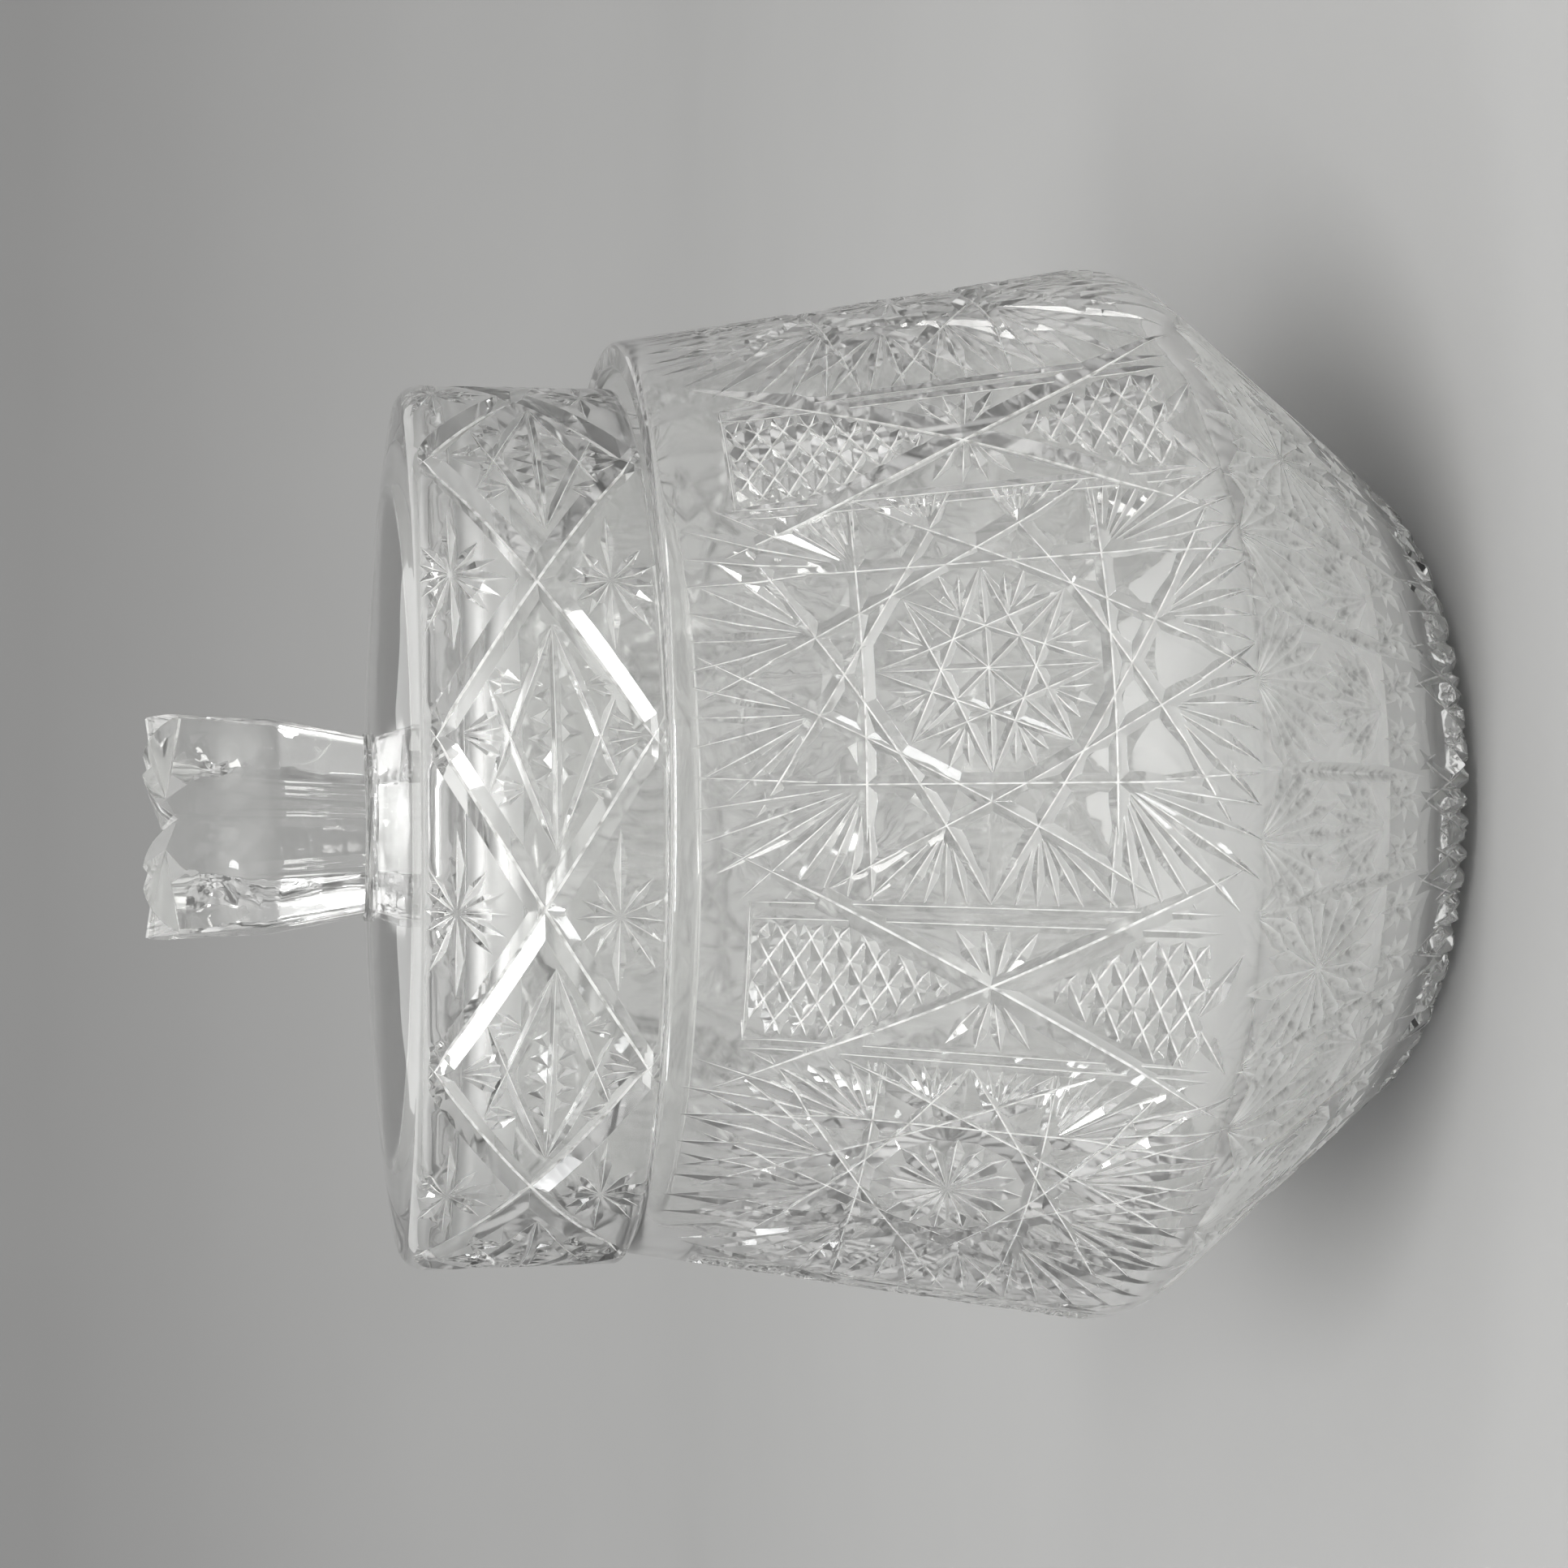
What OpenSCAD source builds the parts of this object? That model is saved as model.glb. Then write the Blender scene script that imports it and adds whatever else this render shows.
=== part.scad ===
// Biscuit jar of thick clear pressed glass: a flared jar on a tapering foot, and a loose drum-shaped
// lid that is pressed in one piece with its six-sided knob.
// Heights are measured up from the table and radii from the jar's upright axis, in millimetres.

/* [Jar] */
// Outer radius of the jar at its rim
rim_r = 75; // [68:0.5:82]
// Height of the rim
rim_z = 132; // [115:1:160]
// Largest outer radius, at the belly
belly_r = 88.5; // [84:0.5:100]
// Height of the belly
belly_z = 54; // [48:1:70]
// Radius of the rounding at the belly
belly_round = 15; // [10:0.5:24]
// Outer radius of the flat base
base_r = 45; // [34:0.5:52]
// Radius of the rounded heel around the base
heel_round = 12.5; // [6:0.5:20]
// Thickness of the jar's side wall
jar_wall = 5; // [3.5:0.25:7]
// Thickness of the floor
floor_t = 9; // [6:0.5:12]
// Radius of the inside corner between floor and wall
floor_round = 10; // [4:0.5:14]
// Width of the flat ring that the jar stands on
foot_ring_w = 8; // [4:0.5:14]
// Depth of the hollow under the floor, inside that ring
foot_hollow = 1.2; // [0.6:0.1:3]
// Rounding of the rim's inner and outer edge
rim_edge_r = 1.2; // [0.5:0.1:1.5]

/* [Lid] */
// How far the lid's side lies inside the rim's outer edge
lid_inset = 3; // [0:0.25:4]
// Height of the lid's upright side
lid_side_h = 35; // [25:0.5:45]
// Rounding of the lid's top edge
lid_edge_r = 4; // [2:0.5:6]
// Rounding of the lid's bottom edge, where it meets the rim
lid_seat_edge_r = 0.8; // [0.4:0.1:1.2]
// Rise of the lid's domed top, from its edge to the knob
dome_rise = 4; // [2:0.5:8]
// Thickness of the lid's top, at its edge
lid_top_t = 7; // [5:0.5:10]
// Radius of the inside corner under the lid's top
lid_corner_r = 8; // [4:0.5:12]

/* [Seat] */
// Height of the locating flange that drops into the mouth
flange_h = 6; // [4:0.5:10]
// Thickness of that flange
flange_t = 3.6; // [3:0.2:5]
// Play between flange and mouth, all round, when the lid is centred
flange_play = 5.2; // [2:0.1:7]
// Gap left between flange and mouth on the side that the lid is pushed to
flange_gap = 0.4; // [0.3:0.1:1.5]

/* [Knob] */
// Height of the knob, from the lid's domed top to its highest points
knob_h = 36; // [30:0.5:45]
// Distance from the knob's axis to its flat sides, at the foot
knob_foot_r = 14.2; // [11:0.1:16]
// Distance from the knob's axis to its flat sides, at the top
knob_top_r = 18.2; // [16:0.1:20]
// How far the knob's six upright edges are rounded off
knob_edge_cut = 0.6; // [0.4:0.1:1]
// Turn of the knob, seen from above, that takes one of its edges away from straight ahead
knob_turn = 5; // [-30:1:30]
// Width of the round pad's edge, outside the corners of the knob's foot
pad_edge = 0.5; // [0.5:0.25:3]
// Height of that pad
pad_h = 1.2; // [0.8:0.2:3]
// Depth of the six notches between the knob's top points
notch_depth = 5; // [2:0.5:6]
// Distance from the knob's axis at which the notches begin
notch_start = 2; // [1:0.5:4]
// Radius of the round thumbprint in each side
thumbprint_r = 7.5; // [4:0.25:8]
// Depth of the thumbprints
thumbprint_depth = 1.5; // [0.6:0.1:2]
// Distance of the thumbprints' centres below the knob's highest points
thumbprint_drop = 11.5; // [10:0.5:14]

/* [Cuts] */
// Width of the bold mitre cuts that cross between the jar's panels
bold_w = 3.8; // [2:0.2:5]
// Depth of those cuts
bold_depth = 1.4; // [0.6:0.1:1.8]
// Width of the mitre cuts around each star
mitre_w = 2.4; // [1.4:0.2:3]
// Depth of those cuts
mitre_depth = 0.9; // [0.4:0.1:1.3]
// Radius of the ring that the mitre cuts touch, around the large star
large_ring = 17; // [14:0.5:19]
// Radius of the ring that they touch around the small star
small_ring = 12.5; // [9:0.5:14]
// Distance of the stars and crossings below the rim, along the side
cross_drop = 46; // [38:1:54]
// Width of the zigzag of mitre cuts around the lid
zigzag_w = 4; // [2:0.2:5]
// Depth of the zigzag
zigzag_depth = 1.4; // [0.6:0.1:1.8]

/* [Hidden] */
$fn = 96;
sides = 6;                                   // flat sides of the knob
bury = 1;                                    // how deep joined shapes reach into each other

mouth_r = rim_r - jar_wall;
lid_r = rim_r - lid_inset;
flange_r = mouth_r - flange_play;
hollow_r = flange_r - flange_t;              // radius of the space under the lid
lid_shift = flange_play - flange_gap;
lid_top_z = rim_z + lid_side_h;              // height of the lid's top at its edge
dome_z = lid_top_z + dome_rise;
knob_top_z = dome_z + knob_h;
knob_corner_r = knob_top_r / cos(180 / sides);
knob_foot_corner_r = knob_foot_r / cos(180 / sides);
pad_r = knob_foot_corner_r + pad_edge;
ring_inner_r = base_r - foot_ring_w;

belly_c = [belly_r - belly_round, belly_z];  // centre of the belly's rounding
heel_c = [base_r, heel_round];               // centre of the heel's rounding

// Points along an arc about the centre c, from angle a0 to angle a1.
function arc(c, r, a0, a1, steps = 10) =
    [for (i = [0:steps]) let (a = a0 + (a1 - a0) * i / steps) c + r * [cos(a), sin(a)]];

// Angle on the circle (c, r) where a straight line from the point p, outside it, touches its outer side.
function touch_angle(p, c, r) =
    let (d = p - c) atan2(d.y, d.x) - acos(r / norm(d));

// Angle at which one straight line touches the outer side of two circles, c1 above c2.
function common_touch_angle(c1, r1, c2, r2) =
    let (d = c2 - c1) atan2(d.y, d.x) + acos((r1 - r2) / norm(d));

side_angle = touch_angle([rim_r, rim_z], belly_c, belly_round);
cone_angle = common_touch_angle(belly_c, belly_round, heel_c, heel_round);

// The inside follows the same belly centre, one wall further in, and the same slope of the cone.
inner_round = belly_round - jar_wall;
inner_side_angle = touch_angle([mouth_r, rim_z], belly_c, inner_round);
floor_c_z = floor_t + floor_round;
floor_c_r = belly_c.x + (inner_round - floor_round - sin(cone_angle) * (floor_c_z - belly_z))
            / cos(cone_angle);

// Half outline of the jar's outer shape, from the axis at the base to the axis at the rim's height.
function jar_outer() = concat(
    [[0, 0]],
    arc(heel_c, heel_round, -90, cone_angle),
    arc(belly_c, belly_round, cone_angle, side_angle, 16),
    arc([rim_r - rim_edge_r, rim_z - rim_edge_r], rim_edge_r, side_angle, 90, 4),
    [[0, rim_z]]);

// Half outline of the space inside the jar, carried up past the rim.
function jar_inner() = concat(
    [[0, floor_t]],
    arc([floor_c_r, floor_c_z], floor_round, -90, cone_angle),
    arc(belly_c, inner_round, cone_angle, inner_side_angle, 16),
    [[mouth_r, rim_z], [mouth_r, rim_z + bury], [0, rim_z + bury]]);

// The cuts are laid out by [angle from the front, distance below the rim along the side].
jar_panels = 6;                              // star panels, large and small by turns
lid_repeats = 9;                             // crossings of the lid's zigzag
star_turn = 33;                              // angle from a crossing to the star at its right
cross_turn = -19.8;                          // angle of the first crossing
star_mitres = 12;                            // mitre cuts around one star
cut_pieces = 3;                              // straight pieces that one long cut is made of
side_top = [rim_r - rim_edge_r, rim_z - rim_edge_r] + rim_edge_r * [cos(side_angle), sin(side_angle)];
side_length = norm(side_top - (belly_c + belly_round * [cos(side_angle), sin(side_angle)]));
function side_r(s) = side_top.x + s * sin(side_angle);

// V-shaped groove: a straight prism from p to q in the side of a cone or cylinder.
// p and q are [angle, distance below top]; top is [radius, height] and tilt the surface's slope.
module groove(p, q, w, depth, top, tilt) {
    m = (p + q) / 2;
    r = top.x + m.y * sin(tilt);
    run = [(q.x - p.x) * PI / 180 * r, q.y - p.y];
    over = 2;
    rotate([0, 0, m.x - 90])
        translate([r, 0, top.y - m.y * cos(tilt)])
            rotate([0, -tilt, 0])
                rotate([atan2(-run.x, -run.y), 0, 0])
                    linear_extrude(height = norm(run) + 0.6, center = true)
                        polygon([[-depth, 0], [over, w / 2 * (1 + over / depth)],
                                 [over, -w / 2 * (1 + over / depth)]]);
}

// A long cut from p to q, made of short straight grooves that follow the round surface.
module long_cut(p, q, w, depth, top, tilt, pieces = cut_pieces) {
    for (k = [0:pieces - 1])
        groove(p + (q - p) * k / pieces, p + (q - p) * (k + 1) / pieces, w, depth, top, tilt);
}

// Two bold cuts that cross between two star panels.
module crossing(turn) {
    low = side_length - cross_drop - 1;
    high = -cross_drop + 8;
    lean = 180 / PI / 1.9 / side_r(cross_drop);  // angle turned for each millimetre down the side
    for (side = [-1, 1])
        long_cut([turn + side * lean * high, cross_drop + high], [turn + side * lean * low, cross_drop + low],
                 bold_w, bold_depth * (side < 0 ? 1 : 0.93), side_top, side_angle, cut_pieces);
}

// The mitre cuts around a star: they touch a ring, and each ends where it meets the third one on.
module star_cuts(turn, ring) {
    deg = 180 / PI / side_r(cross_drop);
    for (k = [0:star_mitres - 1]) {
        a = k * 360 / star_mitres;
        foot = ring * [cos(a), sin(a)];
        d = ring * [-sin(a), cos(a)];
        long_cut([turn + deg * (foot.x - d.x), cross_drop + foot.y - d.y],
                 [turn + deg * (foot.x + d.x), cross_drop + foot.y + d.y],
                 mitre_w, mitre_depth * (1 - 0.015 * k), side_top, side_angle,
                 max(1, round(cut_pieces * abs(sin(a)))));
    }
}

module jar_cuts() {
    for (k = [0:jar_panels - 1]) {
        turn = cross_turn + k * 360 / jar_panels;
        crossing(turn);
        star_cuts(turn + star_turn, k % 2 == 0 ? large_ring : small_ring);
    }
}

// The zigzag around the lid: two bands of long cuts that cross at half height.
module lid_cuts() {
    half = 180 / lid_repeats * 0.96;
    rise = lid_side_h / 2 - 2;
    for (k = [0:lid_repeats - 1], side = [-1, 1])
        let (turn = k * 360 / lid_repeats - 9.2)
            long_cut([turn - side * half, lid_side_h / 2 - rise], [turn + side * half, lid_side_h / 2 + rise],
                     zigzag_w, zigzag_depth * (side < 0 ? 1 : 0.93), [lid_r, lid_top_z], 0, 4);
}

module rim_edge_cut() {
    // rounds the rim's inner edge
    rotate_extrude()
        difference() {
            translate([mouth_r - bury, rim_z - rim_edge_r])
                square([bury + rim_edge_r, rim_edge_r + bury]);
            translate([mouth_r + rim_edge_r, rim_z - rim_edge_r]) circle(r = rim_edge_r, $fn = 24);
        }
}

module jar() {
    color([0.86, 0.89, 0.88])
        difference() {
            rotate_extrude() polygon(jar_outer());
            rotate_extrude() polygon(jar_inner());
            rim_edge_cut();
            jar_cuts();
            translate([0, 0, -bury]) cylinder(r = ring_inner_r, h = foot_hollow + bury);
        }
}

// Half outline of the lid without its knob: side, rounded edge, domed top, hollow and flange.
function lid_outline() = concat(
    [[hollow_r, rim_z - flange_h], [flange_r, rim_z - flange_h], [flange_r, rim_z]],
    arc([lid_r - lid_seat_edge_r, rim_z + lid_seat_edge_r], lid_seat_edge_r, -90, 0, 4),
    arc([lid_r - lid_edge_r, lid_top_z - lid_edge_r], lid_edge_r, 0, 90, 8),
    [[pad_r, dome_z], [0, dome_z], [0, lid_top_z - lid_top_t]],
    arc([hollow_r - lid_corner_r, lid_top_z - lid_top_t - lid_corner_r], lid_corner_r, 90, 0, 8));

// Block on the outer side of one sloping flat of the knob.
module flat_cut() {
    lean = atan2(knob_top_r - knob_foot_r, knob_h);
    block = 3 * knob_top_r;
    translate([knob_foot_r, 0, dome_z])
        rotate([0, lean, 0])
            translate([0, -block, -block]) cube([block, 2 * block, 2 * block + knob_h]);
}

// V-shaped notch that runs out to one corner of the knob's top and is deepest there.
module notch() {
    slope = atan2(notch_depth, knob_corner_r - notch_start);
    size = 2 * knob_corner_r;
    translate([notch_start, 0, knob_top_z])
        rotate([0, slope, 0])
            rotate([45, 0, 0]) cube([size, size, size]);
}

// Shallow round thumbprint in one side of the knob.
module thumbprint() {
    ball_r = (pow(thumbprint_r, 2) + pow(thumbprint_depth, 2)) / (2 * thumbprint_depth);
    lean = (knob_top_r - knob_foot_r) / knob_h;
    side_x = knob_top_r - thumbprint_drop * lean;
    translate([side_x + ball_r - thumbprint_depth, 0, knob_top_z - thumbprint_drop]) sphere(r = ball_r);
}

module knob() {
    difference() {
        translate([0, 0, dome_z - bury])
            cylinder(r1 = knob_foot_corner_r - knob_edge_cut, r2 = knob_corner_r - knob_edge_cut,
                     h = knob_h + bury);
        for (k = [0:sides - 1])
            rotate([0, 0, k * 360 / sides + knob_turn]) {
                flat_cut();
                thumbprint();
                rotate([0, 0, 180 / sides]) notch();
            }
    }
}

module lid() {
    color([0.80, 0.84, 0.82])
        translate([-lid_shift, 0, 0])
            union() {
                difference() {
                    rotate_extrude() polygon(lid_outline());
                    lid_cuts();
                }
                translate([0, 0, dome_z - bury]) cylinder(r = pad_r, h = pad_h + bury);
                knob();
            }
}

jar();
lid();
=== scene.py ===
import math

import bmesh
import bpy
import numpy as np
from mathutils import Matrix, Vector
from mathutils.geometry import delaunay_2d_cdt


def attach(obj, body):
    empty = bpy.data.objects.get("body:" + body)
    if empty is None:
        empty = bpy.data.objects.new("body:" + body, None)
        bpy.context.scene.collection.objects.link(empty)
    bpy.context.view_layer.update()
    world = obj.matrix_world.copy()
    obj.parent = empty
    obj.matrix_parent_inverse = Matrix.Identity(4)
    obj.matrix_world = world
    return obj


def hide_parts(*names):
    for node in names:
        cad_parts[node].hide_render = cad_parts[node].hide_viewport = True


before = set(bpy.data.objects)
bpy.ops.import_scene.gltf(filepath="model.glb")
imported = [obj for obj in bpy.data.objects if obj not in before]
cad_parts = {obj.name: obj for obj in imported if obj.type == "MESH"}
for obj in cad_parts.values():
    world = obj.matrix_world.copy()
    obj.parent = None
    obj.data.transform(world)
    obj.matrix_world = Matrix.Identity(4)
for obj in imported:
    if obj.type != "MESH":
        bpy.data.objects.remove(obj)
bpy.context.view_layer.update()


# ---------------------------------------------------------------------------------------------
# THE JAR
# One thick piece of clear glass, pressed in an iron mould and fire-polished. The mould gives it
# the look of wheel-cut glass: hobstars, fans, mitres and hobnail lattices on the outside, while
# the plunger leaves the inside smooth. It stands free on the flat ring of its base.
# ---------------------------------------------------------------------------------------------

MM = 0.001                                    # the sizes are in mm, the meshes in metres
jar_rim_r, jar_rim_z, jar_rim_edge = 75.0, 132.0, 1.2
jar_belly_r, jar_belly_z, jar_belly_round = 88.5, 54.0, 15.0
jar_base_r, jar_heel_round, jar_foot_ring = 45.0, 12.5, 8.0
jar_wall, jar_floor, jar_floor_round, jar_foot_hollow = 5.0, 9.0, 10.0, 1.2

JAR_CHART_R = 84.0                            # the pattern is drawn flat, on a drum of this radius
JAR_TURN = 120                                # degrees round the jar after which the pattern repeats
JAR_START = -58.0                             # where one repeat begins, from the front towards +X
POLISHED, MATT, DULL = 0, 1, 2                # the glass as the mould's three kinds of surface leave it
MATT_SHARE = 0.1                              # how much of a cut's depth its thin matt bottom takes up
FAR = 1e9                                     # mm, farther off than anything on the drawing
HAIR = 1e-4                                   # mm, a length or a depth that doesn't count


def touch_angle(p, c, r):
    """Direction from a circle's middle to where a straight line from the point p touches it."""
    dx, dz = p[0] - c[0], p[1] - c[1]
    return math.atan2(dz, dx) - math.acos(r / math.hypot(dx, dz))


def common_touch_angle(c1, r1, c2, r2):
    """Direction from both circles' middles to where one straight line touches them both."""
    dx, dz = c2[0] - c1[0], c2[1] - c1[1]
    return math.atan2(dz, dx) + math.acos((r1 - r2) / math.hypot(dx, dz))


def point_on(c, r, a, tall=1.0):
    """The point of a circle, or of an oval so much taller, in the direction a."""
    return (c[0] + r * math.cos(a), c[1] + r * tall * math.sin(a))


class Outline:
    """A half outline made of straight lines and arcs, measured along its length in mm."""

    def __init__(self, start):
        self.parts, self.length, self.start = [], start, start

    def line(self, p, q):
        """Goes on straight from p to q."""
        n = math.hypot(q[0] - p[0], q[1] - p[1])
        self.parts.append(("line", self.length, self.length + n, p, q))
        self.length += n

    def arc(self, c, r, a0, a1):
        """Goes on round the middle c, from the direction a0 to a1."""
        n = abs(a1 - a0) * r
        self.parts.append(("arc", self.length, self.length + n, c, (r, a0, a1)))
        self.length += n

    def at(self, s):
        """Radius, height and outward direction at the distances s along the outline."""
        s = np.asarray(s, float)
        out = np.zeros(s.shape + (4,))
        for n, (kind, s0, s1, a, b) in enumerate(self.parts):
            m = (s >= s0) if n else np.ones(s.shape, bool)
            t = np.clip((s[m] - s0) / (s1 - s0), 0, 1)
            if kind == "line":
                dx, dz = (b[0] - a[0]) / (s1 - s0), (b[1] - a[1]) / (s1 - s0)
                out[m] = np.stack([a[0] + (b[0] - a[0]) * t, a[1] + (b[1] - a[1]) * t,
                                   np.full(t.shape, -dz), np.full(t.shape, dx)], -1)
            else:
                r, a0, a1 = b
                w = a0 + (a1 - a0) * t
                out[m] = np.stack([a[0] + r * np.cos(w), a[1] + r * np.sin(w), np.cos(w), np.sin(w)], -1)
        return out

    def rows(self, straight, curved):
        """Distances at which rows of points are wanted: wide apart on lines, close on arcs."""
        rows = [self.start]
        for kind, s0, s1, a, b in self.parts:
            step = straight if kind == "line" else min(curved, b[0] * 0.2)
            n = max(1, math.ceil((s1 - s0) / step))
            rows += [s0 + (s1 - s0) * k / n for k in range(1, n + 1)]
        return rows


def facet(p, q, deepest, depth):
    """The plane that falls from the edge p to q to its depth at the deepest point: two slopes and a level."""
    n = np.array([p[1] - q[1], q[0] - p[0]])
    reach = n @ (np.array(deepest) - p)
    return [n[0] * depth / reach, n[1] * depth / reach, -(n @ p) * depth / reach, POLISHED]


def pyramid(outline, deepest, depth):
    """A pressed facet group: a convex outline whose flat facets meet at one deepest point."""
    outline = np.array(outline, float)
    x, y = outline[:, 0], outline[:, 1]
    if np.sum(x * np.roll(y, -1) - y * np.roll(x, -1)) < 0:
        outline = outline[::-1]
    return outline, np.array([facet(p, q, deepest, depth) for p, q in zip(outline, np.roll(outline, -1, 0))])


def leaf(p, angle, length, width, depth, widest=0.5):
    """A leaf laid from p at an angle in degrees: two points, four facets and a thin matt bottom."""
    a = math.radians(angle)
    d = np.array([math.cos(a), math.sin(a)])
    n = np.array([-math.sin(a), math.cos(a)])
    p = np.array(p, float)
    m = p + d * length * widest
    outline, planes = pyramid([p, m - n * width / 2, p + d * length, m + n * width / 2], m, depth)
    bottom = d * depth * (1 - MATT_SHARE)
    rise = bottom / (length * widest)
    fall = -bottom / (length * (1 - widest))
    floor = [[rise[0], rise[1], -rise @ p, MATT], [fall[0], fall[1], -fall @ (p + d * length), MATT]]
    return outline, np.concatenate([planes, floor])


def mitre(p, q, width, depth, taper=6.0, taper_end=None, matt=MATT_SHARE):
    """A long V cut from p to q that narrows and rises to a point at both ends, with a thin matt bottom."""
    p, q = np.array(p, float), np.array(q, float)
    length = np.linalg.norm(q - p)
    d = (q - p) / length
    n = np.array([-d[1], d[0]])
    t0 = min(taper, length * 0.49)
    t1 = min(taper if taper_end is None else taper_end, length * 0.49)
    a, b, h = p + d * t0, q - d * t1, n * width / 2
    outline = np.array([p, a - h, b - h, q, b + h, a + h])
    edges = ((p, a - h, a), (a - h, b - h, a), (b - h, q, b), (q, b + h, b), (b + h, a + h, b), (a + h, p, a))
    planes = [facet(u, v, deepest, depth) for u, v, deepest in edges]
    deep = depth * (1 - matt)
    rise, fall = d * deep / t0, -d * deep / t1
    planes += [[rise[0], rise[1], -rise @ p, MATT], [0, 0, deep, MATT], [fall[0], fall[1], -fall @ q, MATT]]
    return outline, np.array(planes)


def dish(c, rx, ry, depth, sides=18):
    """A shallow round or oval thumbprint: a ring of steep facets, a ring of gentle ones, a flat bottom."""
    steepness, gentleness = 1.9, 0.42
    turns = [2 * math.pi * k / sides for k in range(sides)]
    outline, steep = pyramid([(c[0] + rx * math.cos(t), c[1] + ry * math.sin(t)) for t in turns],
                             c, depth * steepness)
    gentle = steep * gentleness + [0, 0, depth * gentleness, 0]
    return outline, np.concatenate([steep, gentle, [[0, 0, depth, 0]]])


def depth_at(points, cuts):
    """Depth of the pattern at each point, from the deepest cut that reaches it, and its kind of surface."""
    deep, matt = np.zeros(len(points)), np.zeros(len(points), int)
    x, y = points[:, 0], points[:, 1]
    for outline, planes in cuts:
        lo, hi = outline.min(0), outline.max(0)
        m = np.nonzero((x >= lo[0]) & (x <= hi[0]) & (y >= lo[1]) & (y <= hi[1]))[0]
        if len(m):
            v = planes[:, 0, None] * x[m] + planes[:, 1, None] * y[m] + planes[:, 2, None]
            deeper = v.min(0) > deep[m]
            matt[m] = np.where(deeper, planes[v.argmin(0), 3], matt[m])
            deep[m] = np.maximum(deep[m], v.min(0))
    return deep, matt


def clip_polygon(poly, plane):
    """The part of a convex polygon where the plane's value isn't negative."""
    v = poly @ plane[:2] + plane[2]
    out = []
    for k in range(len(poly)):
        j = (k + 1) % len(poly)
        if v[k] >= 0:
            out.append(poly[k])
        if (v[k] > 0 > v[j]) or (v[k] < 0 < v[j]):
            out.append(poly[k] + (poly[j] - poly[k]) * (v[k] / (v[k] - v[j])))
    return np.array(out)


def cut_short(p, q, limits):
    """The line from p to q as p, its run d, and the shares of d between which it stays in an oblong."""
    d, t0, t1 = q - p, 0.0, 1.0
    for axis, (lo, hi) in enumerate((limits[:2], limits[2:])):
        if abs(d[axis]) > 1e-12:
            a, b = sorted(((lo - p[axis]) / d[axis], (hi - p[axis]) / d[axis]))
            t0, t1 = max(t0, a), min(t1, b)
        elif not lo <= p[axis] <= hi:
            t1 = -1
    return p, d, t0, t1


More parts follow.
